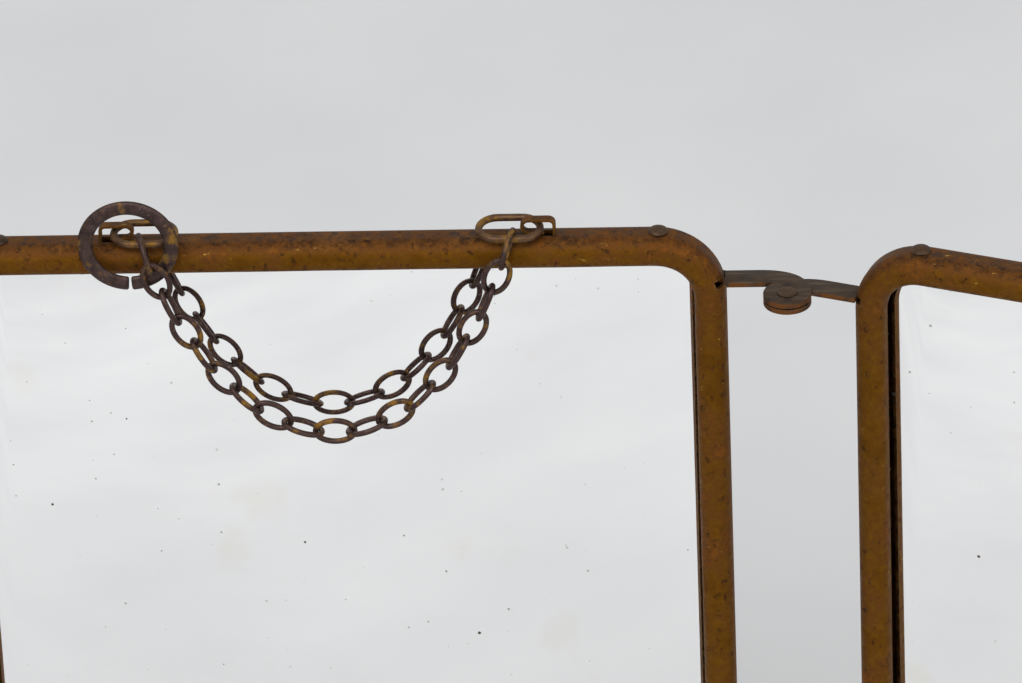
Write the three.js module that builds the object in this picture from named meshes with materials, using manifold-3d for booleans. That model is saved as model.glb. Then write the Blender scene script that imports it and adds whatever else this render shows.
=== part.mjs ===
// A folding three-panel dressing mirror: three glazed panels in rolled steel channel frames, joined by
// riveted flat strip hinges, with a hanging chain and a split ring on the centre panel.
// Millimetres, +X right, +Y back, +Z up. The origin is on the centre panel's base, under the glass face.
// Two local directions are used throughout: w points outwards in a panel's plane, and v points forwards (-Y).
import * as THREE from "three";
import { mergeVertices } from "three/addons/utils/BufferGeometryUtils.js";
import Module from "manifold-3d";

const wasm = await Module();
wasm.setup();

// Driving dimensions.
const PANEL_WIDTH = 202;
const PANEL_HEIGHT = 262;
const CORNER_RADIUS = 18;
const CORNER_STEPS = 6;

const RAIL_WIDTH = 8.2; // across the frame, in the panel's plane
const RAIL_FRONT = 4.7; // in front of the glass
const RAIL_BACK = 6.3; // behind the glass face
const WALL = 0.8;
const RAIL_ROUND = 4; // outer corners of the channel
const BEAD_ROUND = 3; // the channel's corner next to the glass
const LIP_WIDTH = 7.2; // back lip, from the outside of the frame
const JOINT_X = 60; // butt joint of the frame, in its bottom rail
const FIT = 0.3; // gap between pieces that touch

const GLASS_THICKNESS = 3;
const CARD_THICKNESS = 0.8;
const BACK_THICKNESS = 0.8;
const GLASS_INSET = 4; // from the outside of the frame to the glass edge

const HINGE_SPAN = 31; // between the frames of two open panels
const HINGE_DROP = 13.4; // middle of the outer hinge plate, from the frame's top or bottom
const PLATE = 1.4;
const EYE_RADIUS = 6.1;
const STRIP_WIDTH = 6.5;
const STRIP_V = 0.6;
const TAIL_WIDTH = 3.8;
const PIVOT_V_RIGHT = 9;
const PIVOT_V_LEFT = 14.8; // further forward, so that this wing closes over the other one
const PIVOT_PIN_RADIUS = 1.55;
const PIVOT_HOLE_RADIUS = 1.7;
const RIVET_INSET = 17; // tail rivets, from the side of the frame
const RIVET_RADIUS = 1.5;
const RIVET_HEAD_RADIUS = 2.6;
const WING_FOLD = 20; // degrees that both wings are folded forwards at rest

const HOOK_X = 46.8; // the chain's ends, on the eye loops' front wires
const HOOK_V = 5.2;
const HOOK_RISE = 1.85; // above the frame's top
const LINK_WIRE = 1.5;
const LINK_LENGTH = 11.6;
const LINK_WIDTH = 7.6;
const LINK_PITCH = 8.4;
const LINK_COUNT = 19;
const CHAIN_SLOPE = 0.33; // how fast the slope of a link grows, link by link from the middle
const CHAIN_LOW_V = 7.6; // forward distance of the chain at its lowest point
const END_LINK_REACH = 3.9; // from the middle of an end link to where the next one hangs

const LOOP_WIRE = 1.9;
const LOOP_LENGTH = 17.5;
const LOOP_WIDTH = 11.5;
const LOOP_TILT = 5; // the front wire is the lower one
const LOOP_APEX_X = 54.2;

const RING_OUTER = 12.85;
const RING_RADIAL = 3.8;
const RING_AXIAL = 2;
const RING_GAP = 0.7;
const RING_X = -50;
const RING_V = 7.4;
const RING_RISE = 2.8;

const DEG = Math.PI / 180;
const WING_PLATE_DROP = HINGE_DROP + PLATE + FIT; // the wing's plates lie between the fixed ones
const CROWN_V = (RAIL_FRONT - RAIL_BACK) / 2; // middle of the flat outer face of the channel
const PIVOT_X = PANEL_WIDTH / 2 + HINGE_SPAN / 2;

const rustySteel = { color: 0x5c3d1e, roughness: 0.7, metalness: 0.6 };
const darkSteel = { color: 0x4a3b30, roughness: 0.65, metalness: 0.6 };
const purpleSteel = { color: 0x3d2c2e, roughness: 0.55, metalness: 0.6 };
const silvered = { color: 0xe2e2e0, roughness: 0.05, metalness: 1 };
const pulpCard = { color: 0x8a7355, roughness: 0.95, metalness: 0 };
const tinPlate = { color: 0x55504a, roughness: 0.6, metalness: 0.7 };

// ---- Solids ----

// A geometry as a manifold-3d solid.
function solid(geometry) {
  const bare = geometry.index ? geometry.toNonIndexed() : geometry.clone();
  bare.deleteAttribute("normal");
  bare.deleteAttribute("uv");
  const merged = mergeVertices(bare, 1e-4);
  return new wasm.Manifold(
    new wasm.Mesh({
      numProp: 3,
      vertProperties: new Float32Array(merged.attributes.position.array),
      triVerts: new Uint32Array(merged.index.array),
    }),
  );
}

function geometryOf(body) {
  const mesh = body.getMesh();
  const geometry = new THREE.BufferGeometry();
  geometry.setAttribute("position", new THREE.BufferAttribute(mesh.vertProperties, 3));
  geometry.setIndex(new THREE.BufferAttribute(mesh.triVerts, 1));
  const flat = geometry.toNonIndexed();
  flat.computeVertexNormals();
  return flat;
}

function cut(body, tools) {
  return tools.reduce((rest, tool) => rest.subtract(tool), body);
}

// The same solid mirrored in the axes whose sign is -1.
function mirrored(geometry, sx, sy, sz) {
  const copy = geometry.index ? geometry.toNonIndexed() : geometry.clone();
  copy.scale(sx, sy, sz);
  if (sx * sy * sz < 0) {
    const p = copy.attributes.position;
    for (let i = 0; i < p.count; i += 3) {
      const second = [p.getX(i + 1), p.getY(i + 1), p.getZ(i + 1)];
      p.setXYZ(i + 1, p.getX(i + 2), p.getY(i + 2), p.getZ(i + 2));
      p.setXYZ(i + 2, ...second);
    }
  }
  copy.computeVertexNormals();
  return copy;
}

// A counterclockwise section carried through a list of rings of points, closed on itself or capped.
function sweep(rings, section, closed) {
  const n = section.length;
  const index = [];
  const last = closed ? rings.length : rings.length - 1;
  for (let i = 0; i < last; i++) {
    const here = i * n;
    const next = ((i + 1) % rings.length) * n;
    for (let j = 0; j < n; j++) {
      const k = (j + 1) % n;
      index.push(here + j, here + k, next + k, here + j, next + k, next + j);
    }
  }
  if (!closed) {
    const end = (rings.length - 1) * n;
    for (const [a, b, c] of THREE.ShapeUtils.triangulateShape(section, [])) {
      index.push(a, c, b, end + a, end + b, end + c);
    }
  }
  const geometry = new THREE.BufferGeometry().setFromPoints(rings.flat());
  geometry.setIndex(index);
  return geometry;
}

// A wire of elliptical section along points in one plane; `across` is the plane's normal.
function wire(points, across, inPlaneRadius, acrossRadius, sides, closed) {
  const section = Array.from({ length: sides }, (_, j) => {
    const angle = ((j + 0.5) / sides) * 2 * Math.PI;
    return new THREE.Vector2(inPlaneRadius * Math.cos(angle), acrossRadius * Math.sin(angle));
  });
  const rings = points.map((point, i) => {
    const before = points[closed ? (i + points.length - 1) % points.length : Math.max(i - 1, 0)];
    const after = points[closed ? (i + 1) % points.length : Math.min(i + 1, points.length - 1)];
    const along = after.clone().sub(before).normalize();
    const inPlane = across.clone().cross(along);
    return section.map((s) =>
      point.clone().addScaledVector(inPlane, s.x).addScaledVector(across, s.y));
  });
  return sweep(rings, section, closed);
}

// An XZ outline extruded from v0 to v1.
function slab(shape, v0, v1, curveSegments = 8) {
  const geometry = new THREE.ExtrudeGeometry(shape, { depth: v1 - v0, bevelEnabled: false, curveSegments });
  return geometry.rotateX(Math.PI / 2).translate(0, -v0, 0);
}

// An outline in x and v extruded from z0 to z1.
function plate(shape, z0, z1, curveSegments = 8) {
  const geometry = new THREE.ExtrudeGeometry(shape, { depth: z1 - z0, bevelEnabled: false, curveSegments });
  return mirrored(geometry.translate(0, 0, z0), 1, -1, 1);
}

function box(x0, x1, v0, v1, z0, z1) {
  const geometry = new THREE.BoxGeometry(x1 - x0, v1 - v0, z1 - z0);
  return geometry.translate((x0 + x1) / 2, -(v0 + v1) / 2, (z0 + z1) / 2);
}

function uprightCylinder(x, v, z0, z1, radius, sides = 16) {
  const geometry = new THREE.CylinderGeometry(radius, radius, z1 - z0, sides);
  return geometry.rotateX(Math.PI / 2).translate(x, -v, (z0 + z1) / 2);
}

function roundedRectangle(width, height, radius) {
  const x = width / 2;
  const shape = new THREE.Shape();
  shape.moveTo(-x + radius, 0);
  shape.lineTo(x - radius, 0);
  shape.absarc(x - radius, radius, radius, -Math.PI / 2, 0, false);
  shape.lineTo(x, height - radius);
  shape.absarc(x - radius, height - radius, radius, 0, Math.PI / 2, false);
  shape.lineTo(-x + radius, height);
  shape.absarc(-x + radius, height - radius, radius, Math.PI / 2, Math.PI, false);
  shape.lineTo(-x, radius);
  shape.absarc(-x + radius, radius, radius, Math.PI, 1.5 * Math.PI, false);
  return shape;
}

// ---- Frame ----

// Points of an arc in the channel's section, from one angle to another (degrees, 0 along w, 90 along v).
function arc(w, v, radius, from, to, steps) {
  return Array.from({ length: steps + 1 }, (_, i) => {
    const angle = (from + ((to - from) * i) / steps) * DEG;
    return new THREE.Vector2(w + radius * Math.cos(angle), v + radius * Math.sin(angle));
  });
}

// The open channel: rounded bead in front of the glass, flat outer face, rounded back and back lip.
function channelSection() {
  const beadW = -RAIL_WIDTH + BEAD_ROUND;
  const beadV = RAIL_FRONT - BEAD_ROUND;
  const frontV = RAIL_FRONT - RAIL_ROUND;
  const backV = -RAIL_BACK + RAIL_ROUND;
  const inside = RAIL_ROUND - WALL;
  const points = [
    new THREE.Vector2(-RAIL_WIDTH, FIT),
    ...arc(beadW, beadV, BEAD_ROUND, 180, 90, 2),
    ...arc(-RAIL_ROUND, frontV, RAIL_ROUND, 90, 0, 3),
    ...arc(-RAIL_ROUND, backV, RAIL_ROUND, 0, -90, 3),
    new THREE.Vector2(-LIP_WIDTH, -RAIL_BACK),
    new THREE.Vector2(-LIP_WIDTH, -RAIL_BACK + WALL),
    ...arc(-RAIL_ROUND, backV, inside, -90, 0, 2),
    ...arc(-RAIL_ROUND, frontV, inside, 0, 90, 2),
    ...arc(beadW, beadV, BEAD_ROUND - WALL, 90, 180, 1),
    new THREE.Vector2(-RAIL_WIDTH + WALL, FIT),
  ];
  return points.reverse();
}

// Points on the outside of a panel with their outward normals, clockwise from the butt joint.
function frameStations() {
  const half = PANEL_WIDTH / 2 - CORNER_RADIUS;
  const corners = [
    [-half, CORNER_RADIUS, 270],
    [-half, PANEL_HEIGHT - CORNER_RADIUS, 180],
    [half, PANEL_HEIGHT - CORNER_RADIUS, 90],
    [half, CORNER_RADIUS, 0],
  ];
  const down = new THREE.Vector2(0, -1);
  const stations = [{ x: JOINT_X - FIT / 2, z: 0, out: down }];
  for (const [x, z, from] of corners) {
    for (let i = 0; i <= CORNER_STEPS; i++) {
      const angle = (from - (90 * i) / CORNER_STEPS) * DEG;
      const out = new THREE.Vector2(Math.cos(angle), Math.sin(angle));
      stations.push({ x: x + CORNER_RADIUS * out.x, z: z + CORNER_RADIUS * out.y, out });
    }
  }
  stations.push({ x: JOINT_X + FIT / 2, z: 0, out: down });
  return stations;
}

function channelRing() {
  const section = channelSection();
  const rings = frameStations().map(({ x, z, out }) =>
    section.map((s) => new THREE.Vector3(x + s.x * out.x, -s.y, z + s.x * out.y)));
  return solid(sweep(rings, section, false));
}

// What a hinge arm needs in the frame: a slot in the side wall and a rivet hole in the top or bottom wall.
function armCutters(side, end, drop) {
  const wallX = PANEL_WIDTH / 2;
  const slotTop = PLATE / 2 + FIT;
  const slot = box(wallX - 3.6, wallX + 1, STRIP_V - STRIP_WIDTH / 2 - FIT, STRIP_V + STRIP_WIDTH / 2 + FIT,
    -drop - slotTop, -drop + slotTop);
  const hole = uprightCylinder(wallX - RIVET_INSET, CROWN_V, -2 * WALL, WALL, RIVET_RADIUS + 0.2);
  return [slot, hole].map((g) => {
    const placed = mirrored(g, side, 1, end);
    return solid(placed.translate(0, 0, end > 0 ? PANEL_HEIGHT : 0));
  });
}

// The lanced tongue: a strip that rises from the slot's outer end and is curled back into an eye.
function tongueShape() {
  const half = 0.4;
  const top = 4.15;
  const low = 0.55;
  const curlX = -6.4;
  const middle = (top + low) / 2;
  const radius = (top - low) / 2;
  const shape = new THREE.Shape();
  shape.moveTo(half, -WALL / 2);
  shape.lineTo(half, top - 1.4);
  shape.absarc(half - 1.4 - half, top - 1.4, 1.4 + half, 0, Math.PI / 2, false);
  shape.lineTo(curlX, top + half);
  shape.absarc(curlX, middle, radius + half, Math.PI / 2, 1.5 * Math.PI, false);
  shape.lineTo(-2.6, low - half);
  shape.lineTo(-2.6, low + half);
  shape.lineTo(curlX, low + half);
  shape.absarc(curlX, middle, radius - half, 1.5 * Math.PI, Math.PI / 2, true);
  shape.lineTo(-1.4, top - half);
  shape.absarc(-1.4, top - 1.4, 1.4 - half, Math.PI / 2, 0, true);
  shape.lineTo(-half, -WALL / 2);
  return shape;
}

function eyes() {
  const root = LOOP_APEX_X + 3.2;
  const slots = [];
  const tongues = [];
  for (const side of [-1, 1]) {
    const slot = box(root - 5.4, root + 0.4, CROWN_V - 1.45, CROWN_V + 1.45, -2 * WALL, WALL);
    slots.push(solid(mirrored(slot, side, 1, 1).translate(0, 0, PANEL_HEIGHT)));
    const tongue = slab(tongueShape(), CROWN_V - 1.2, CROWN_V + 1.2, 4).translate(root + 0.3, 0, 0);
    tongues.push(solid(mirrored(tongue, side, 1, 1).translate(0, 0, PANEL_HEIGHT)));
  }
  return { slots, tongues };
}

function centreFrame() {
  const { slots, tongues } = eyes();
  const cutters = [-1, 1].flatMap((side) => [-1, 1].flatMap((end) => armCutters(side, end, HINGE_DROP)));
  const channel = cut(channelRing(), [...slots, ...cutters]);
  return geometryOf(tongues.reduce((body, tongue) => body.add(tongue), channel));
}

function wingFrame(hingeSide) {
  const cutters = [-1, 1].flatMap((end) => armCutters(hingeSide, end, WING_PLATE_DROP));
  return geometryOf(cut(channelRing(), cutters));
}

// A short channel liner that holds the two ends of the frame in line behind the butt joint.
function jointSleeve() {
  const floor = WALL + FIT;
  return box(JOINT_X - 12, JOINT_X + 12, CROWN_V - 2.2, CROWN_V + 2.2, floor, floor + 1);
}

// ---- Glazing ----

function pane(front, thickness) {
  const shape = roundedRectangle(
    PANEL_WIDTH - 2 * GLASS_INSET, PANEL_HEIGHT - 2 * GLASS_INSET, CORNER_RADIUS - GLASS_INSET);
  return slab(shape, front - thickness, front, 2).translate(0, 0, GLASS_INSET);
}

// ---- Hinges ----

// The flat strip from its eye (at the origin) to the frame, in x and v; the strip lies at v = offset.
function stripShape(offset, endX) {
  const front = offset + STRIP_WIDTH / 2;
  const back = offset - STRIP_WIDTH / 2;
  const shape = new THREE.Shape();
  shape.moveTo(endX, front);
  if (-front < EYE_RADIUS) {
    const angle = Math.asin(front / EYE_RADIUS);
    shape.lineTo(EYE_RADIUS * Math.cos(angle), front);
    shape.absarc(0, 0, EYE_RADIUS, angle, Math.PI, false);
  } else {
    shape.lineTo(EYE_RADIUS + 3, front);
    shape.quadraticCurveTo(EYE_RADIUS, front, EYE_RADIUS, 0);
    shape.absarc(0, 0, EYE_RADIUS, 0, Math.PI, false);
  }
  shape.bezierCurveTo(-EYE_RADIUS, 0.6 * back, -0.3 * EYE_RADIUS, back, EYE_RADIUS + 1, back);
  shape.lineTo(endX, back);
  shape.closePath();
  const hole = new THREE.Path();
  hole.absarc(0, 0, PIVOT_HOLE_RADIUS, 0, 2 * Math.PI, true);
  shape.holes.push(hole);
  return shape;
}

// The arm's tail, seen from the front: it bends up behind the side wall and follows the frame's corner.
// The origin is the corner's centre, and `level` is the plate's height over it.
function tailShape(level) {
  const outer = CORNER_RADIUS - WALL - 2 * FIT;
  const inner = outer - PLATE;
  const start = Math.asin(level / outer);
  const shape = new THREE.Shape();
  shape.moveTo(inner * Math.cos(start), level - PLATE / 2);
  shape.lineTo(outer * Math.cos(start), level - PLATE / 2);
  shape.absarc(0, 0, outer, start, Math.PI / 2, false);
  shape.lineTo(-3.5, outer);
  shape.lineTo(-3.5, inner);
  shape.absarc(0, 0, inner, Math.PI / 2, start, true);
  shape.closePath();
  return shape;
}

// One arm with its eye at the origin and its frame towards +x, the plate's middle at z = 0.
function hingeArm(pivotV, drop) {
  const side = HINGE_SPAN / 2;
  const level = CORNER_RADIUS - drop;
  const cornerX = side + CORNER_RADIUS;
  const offset = STRIP_V - pivotV;
  const tailV = CROWN_V - pivotV;
  const strip = solid(plate(stripShape(offset, side + 0.7), -PLATE / 2, PLATE / 2, 4));
  const bridge = solid(box(side + 0.3, side + 3.4, tailV - TAIL_WIDTH / 2, tailV + TAIL_WIDTH / 2,
    -PLATE / 2, PLATE / 2));
  const profile = mirrored(slab(tailShape(level), tailV - TAIL_WIDTH / 2, tailV + TAIL_WIDTH / 2, 4), -1, 1, 1);
  const tail = solid(profile.translate(cornerX, 0, -level));
  const hole = solid(uprightCylinder(side + RIVET_INSET, tailV, 5, 20, RIVET_RADIUS + 0.2));
  return geometryOf(cut(strip.add(bridge).add(tail), [hole]));
}

// Domed outer head, shank and flat inner head, turned about z; z = 0 is the frame's outer face.
function tailRivet(domed) {
  const inner = -(2 * WALL + PLATE + 0.25);
  const head = domed
    ? [[RIVET_HEAD_RADIUS, 0.08], [RIVET_HEAD_RADIUS, 0.3], [1.9, 0.95], [0, 1.3]]
    : [[RIVET_RADIUS, -0.02], [0, -0.02]];
  const shank = domed ? [[RIVET_RADIUS, inner], [RIVET_RADIUS, 0.08]] : [[RIVET_RADIUS, inner]];
  const profile = [[0, inner - 0.7], [2.2, inner - 0.7], [2.2, inner], ...shank, ...head];
  const points = profile.map(([r, z]) => new THREE.Vector2(r, z));
  return new THREE.LatheGeometry(points, 10).rotateX(Math.PI / 2);
}

// Pivot rivet through both eyes; z = 0 is between the two plates.
function pivotRivet() {
  const reach = PLATE + FIT / 2 + 0.15;
  const profile = [
    [0, -reach - 0.25], [2.3, -reach - 0.2], [2.6, -reach], [PIVOT_PIN_RADIUS, -reach],
    [PIVOT_PIN_RADIUS, reach], [2.6, reach], [2.3, reach + 0.2], [0, reach + 0.25],
  ];
  const points = profile.map(([r, z]) => new THREE.Vector2(r, z));
  return new THREE.LatheGeometry(points, 12).rotateX(Math.PI / 2);
}

// ---- Chain, loops and ring ----

// Middle line of an oval: two straight runs along x and two half circles, in x and y.
function ovalPoints(length, width, wireDiameter, steps) {
  const radius = (width - wireDiameter) / 2;
  const straight = (length - width) / 2;
  const points = [];
  for (const end of [1, -1]) {
    for (let i = 0; i <= steps; i++) {
      const angle = (-90 + (180 * i) / steps) * DEG;
      points.push(new THREE.Vector3(
        end * (straight + radius * Math.cos(angle)), end * radius * Math.sin(angle), 0));
    }
  }
  return points;
}

// Middle line of an ellipse in x and y.
function ellipsePoints(length, width, wireDiameter, steps) {
  return Array.from({ length: steps }, (_, i) => {
    const angle = ((i + 0.5) / steps) * 2 * Math.PI;
    const a = (length - wireDiameter) / 2;
    const b = (width - wireDiameter) / 2;
    return new THREE.Vector3(a * Math.cos(angle), b * Math.sin(angle), 0);
  });
}

function wireRing(points, wireDiameter, sides) {
  return wire(points, new THREE.Vector3(0, 0, 1), wireDiameter / 2, wireDiameter / 2, sides, true);
}

// Middle, direction and flat side of each chain link, from the left hook to the right one.
function chainLayout() {
  const half = (LINK_COUNT - 1) / 2;
  const slopes = Array.from({ length: half - 1 }, (_, k) => Math.atan((k + 1) * CHAIN_SLOPE));
  const endDown = 48 * DEG;
  const endSide = 0.3;
  const outward = Math.sqrt(1 - endSide ** 2);
  const hang = (side) => {
    const along = new THREE.Vector3(-side * endSide, -outward * Math.cos(endDown), -outward * Math.sin(endDown));
    const lift = new THREE.Vector3(0, -Math.sin(endDown), Math.cos(endDown));
    const hook = new THREE.Vector3(side * HOOK_X, -HOOK_V, PANEL_HEIGHT + HOOK_RISE);
    const middle = hook.clone().addScaledVector(along, 2.8).addScaledVector(lift, 0.5);
    return { middle, along, lift, joint: middle.clone().addScaledVector(along, END_LINK_REACH) };
  };
  const right = hang(1);
  const links = [];
  const drop = LINK_PITCH * slopes.reduce((sum, a) => sum + Math.sin(a), 0);
  const lowZ = right.joint.z - drop;
  const forward = (z) => CHAIN_LOW_V + (-right.joint.y - CHAIN_LOW_V) * ((z - lowZ) / drop) ** 1.5;
  let x = LINK_PITCH / 2;
  let z = lowZ;
  const joints = [new THREE.Vector3(x, -forward(z), z)];
  for (const slope of slopes) {
    x += LINK_PITCH * Math.cos(slope);
    z += LINK_PITCH * Math.sin(slope);
    joints.push(new THREE.Vector3(x, -forward(z), z));
  }
  const all = [...joints.map((j) => new THREE.Vector3(-j.x, j.y, j.z)).reverse(), ...joints];
  for (let i = 0; i + 1 < all.length; i++) {
    const along = all[i + 1].clone().sub(all[i]).normalize();
    const edgeOn = i % 2 === 1;
    const toFront = new THREE.Vector3(0, -1, 0);
    const flat = new THREE.Vector3().crossVectors(along, toFront).normalize();
    const across = edgeOn ? flat.clone().cross(along).normalize() : flat;
    links.push({ middle: all[i].clone().add(all[i + 1]).multiplyScalar(0.5), along, across });
  }
  const left = hang(-1);
  const ends = [left, right].map(({ middle, along, lift }) => ({ middle, along, across: lift }));
  return [ends[0], ...links, ends[1]];
}

// ---- Assembly ----

const mirror = new THREE.Group();

function add(parent, name, geometry, material) {
  const mesh = new THREE.Mesh(geometry, new THREE.MeshStandardMaterial(material));
  mesh.name = name;
  parent.add(mesh);
  return mesh;
}

// Frame, glass, card, back plate and joint sleeve of one panel.
function addPanel(parent, panel, frame) {
  const cardFront = -GLASS_THICKNESS - FIT;
  const backFront = cardFront - CARD_THICKNESS - FIT;
  add(parent, panel + "_frame", frame, rustySteel);
  add(parent, panel + "_mirror_glass", pane(0, GLASS_THICKNESS), silvered);
  add(parent, panel + "_backing_card", pane(cardFront, CARD_THICKNESS), pulpCard);
  add(parent, panel + "_back_plate", pane(backFront, BACK_THICKNESS), tinPlate);
  add(parent, panel + "_joint_sleeve", jointSleeve(), darkSteel);
}

addPanel(mirror, "centre", centreFrame());

for (const side of [1, -1]) {
  const wing = side > 0 ? "right" : "left";
  const pivotV = side > 0 ? PIVOT_V_RIGHT : PIVOT_V_LEFT;
  const folded = new THREE.Group();
  folded.position.set(side * PIVOT_X, -pivotV, 0);
  folded.rotation.z = -side * WING_FOLD * DEG;
  mirror.add(folded);

  const open = new THREE.Group(); // the wing's panel as it would stand when opened flat
  open.position.set(side * (HINGE_SPAN + PANEL_WIDTH) / 2, pivotV, 0);
  folded.add(open);
  addPanel(open, wing + "_wing", wingFrame(-side));

  for (const end of [1, -1]) {
    const place = end > 0 ? "upper" : "lower";
    const outerZ = end > 0 ? PANEL_HEIGHT - HINGE_DROP : HINGE_DROP;
    const wingZ = end > 0 ? PANEL_HEIGHT - WING_PLATE_DROP : WING_PLATE_DROP;
    const rimZ = end > 0 ? PANEL_HEIGHT : 0;

    const fixedArm = add(mirror, `${wing}_${place}_hinge_arm`,
      mirrored(hingeArm(pivotV, HINGE_DROP), -side, 1, end), darkSteel);
    fixedArm.position.set(side * PIVOT_X, -pivotV, outerZ);

    const wingArm = add(folded, `${wing}_${place}_wing_arm`,
      mirrored(hingeArm(pivotV, WING_PLATE_DROP), side, 1, end), darkSteel);
    wingArm.position.set(0, 0, wingZ);

    const pivot = add(mirror, `${wing}_${place}_pivot_rivet`, pivotRivet(), darkSteel);
    pivot.position.set(side * PIVOT_X, -pivotV, (outerZ + wingZ) / 2);

    const rivet = mirrored(tailRivet(end > 0), 1, 1, end);
    const fixedRivet = add(mirror, `${wing}_${place}_frame_rivet`, rivet, rustySteel);
    fixedRivet.position.set(side * (PANEL_WIDTH / 2 - RIVET_INSET), -CROWN_V, rimZ);

    const wingRivet = add(open, `${wing}_${place}_wing_rivet`, rivet.clone(), rustySteel);
    wingRivet.position.set(-side * (PANEL_WIDTH / 2 - RIVET_INSET), -CROWN_V, rimZ);
  }
}

for (const side of [-1, 1]) {
  const reach = (LOOP_LENGTH - LOOP_WIRE) / 2;
  const spread = (LOOP_WIDTH - LOOP_WIRE) / 2;
  const loop = add(mirror, side > 0 ? "right_eye_loop" : "left_eye_loop",
    wireRing(ovalPoints(LOOP_LENGTH, LOOP_WIDTH, LOOP_WIRE, 6), LOOP_WIRE, 8), rustySteel);
  loop.rotation.x = LOOP_TILT * DEG;
  loop.position.set(
    side * (LOOP_APEX_X - reach),
    -HOOK_V + spread * Math.cos(LOOP_TILT * DEG),
    PANEL_HEIGHT + HOOK_RISE + spread * Math.sin(LOOP_TILT * DEG),
  );
}

chainLayout().forEach(({ middle, along, across }, i) => {
  const link = add(mirror, "chain_link_" + String(i + 1).padStart(2, "0"),
    wireRing(ellipsePoints(LINK_LENGTH, LINK_WIDTH, LINK_WIRE, 16), LINK_WIRE, 6), darkSteel);
  const normal = new THREE.Vector3().crossVectors(along, across).normalize();
  const basis = new THREE.Matrix4().makeBasis(along, normal.clone().cross(along).normalize(), normal);
  link.quaternion.setFromRotationMatrix(basis);
  link.position.copy(middle);
});

function splitRing() {
  const radius = RING_OUTER - RING_RADIAL / 2;
  const half = RING_GAP / 2 / radius;
  const steps = 32;
  const points = Array.from({ length: steps + 1 }, (_, i) => {
    const angle = -Math.PI / 2 + half + ((2 * Math.PI - 2 * half) * i) / steps;
    return new THREE.Vector3(radius * Math.cos(angle), radius * Math.sin(angle), 0);
  });
  return wire(points, new THREE.Vector3(0, 0, 1), RING_RADIAL / 2, RING_AXIAL / 2, 8, false);
}

const ring = add(mirror, "hanging_ring", splitRing(), purpleSteel);
ring.rotation.x = Math.PI / 2;
ring.position.set(RING_X, -RING_V, PANEL_HEIGHT + RING_RISE);

export default mirror;
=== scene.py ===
import math

import bmesh
import bpy
from mathutils import Matrix, Vector, noise


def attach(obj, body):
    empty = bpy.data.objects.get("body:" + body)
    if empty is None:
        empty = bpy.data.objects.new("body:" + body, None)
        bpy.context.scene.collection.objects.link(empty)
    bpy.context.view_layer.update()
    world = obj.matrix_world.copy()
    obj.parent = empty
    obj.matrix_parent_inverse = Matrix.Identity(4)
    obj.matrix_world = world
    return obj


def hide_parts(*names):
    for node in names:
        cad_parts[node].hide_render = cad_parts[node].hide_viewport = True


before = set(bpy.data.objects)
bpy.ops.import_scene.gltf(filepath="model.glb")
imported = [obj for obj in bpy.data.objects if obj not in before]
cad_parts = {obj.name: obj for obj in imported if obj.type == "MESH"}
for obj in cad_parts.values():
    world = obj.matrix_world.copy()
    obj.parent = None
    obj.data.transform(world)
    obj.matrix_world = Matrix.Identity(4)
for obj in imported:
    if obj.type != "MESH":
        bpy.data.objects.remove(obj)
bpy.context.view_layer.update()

MM = 0.001
DEG = math.pi / 180

# The CAD part's driving dimensions, in millimetres.
PANEL_WIDTH = 202
PANEL_HEIGHT = 262
CORNER_RADIUS = 18
RAIL_WIDTH = 8.2
RAIL_FRONT = 4.7
RAIL_BACK = 6.3
WALL = 0.8
RAIL_ROUND = 4
BEAD_ROUND = 3
LIP_WIDTH = 7.2
JOINT_X = 60
FIT = 0.3
GLASS_THICKNESS = 3
CARD_THICKNESS = 0.8
BACK_THICKNESS = 0.8
GLASS_INSET = 4
SILVER_DEPTH = 1.7  # how far behind the glass's face the silvering is set
HINGE_SPAN = 31
HINGE_DROP = 13.4
PLATE = 1.4
EYE_RADIUS = 6.1
STRIP_WIDTH = 6.5
STRIP_V = 0.6
TAIL_WIDTH = 3.8
PIVOT_V_RIGHT = 9
PIVOT_V_LEFT = 14.8
PIVOT_PIN_RADIUS = 1.55
PIVOT_HOLE_RADIUS = 1.7
RIVET_INSET = 17
RIVET_RADIUS = 1.5
RIVET_HEAD_RADIUS = 2.6
RIVET_SLACK = 0.2  # how much wider a rivet's hole is than its shank, in radius
WING_FOLD = 20
HOOK_X = 46.8
HOOK_V = 5.2
HOOK_RISE = 1.85
LINK_WIRE = 1.5
LINK_LENGTH = 11.6
LINK_WIDTH = 7.6
LINK_PITCH = 8.4
LINK_COUNT = 19
CHAIN_SLOPE = 0.33
CHAIN_LOW_V = 7.6
END_LINK_REACH = 3.9
LOOP_WIRE = 1.9
LOOP_LENGTH = 17.5
LOOP_WIDTH = 11.5
LOOP_TILT = 5
LOOP_APEX_X = 54.2
RING_OUTER = 12.85
RING_RADIAL = 3.8
RING_AXIAL = 2
RING_GAP = 0.7
RING_X = -50
RING_V = 7.4
RING_RISE = 2.8

WING_PLATE_DROP = HINGE_DROP + PLATE + FIT
CROWN_V = (RAIL_FRONT - RAIL_BACK) / 2
CARD_FRONT = -GLASS_THICKNESS - FIT
PIVOT_X = PANEL_WIDTH / 2 + HINGE_SPAN / 2
SHARP_ANGLE = 38 * DEG
DENT = 0.1  # the waviness of the rolled frames


# ---- Node material helpers ----


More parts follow.
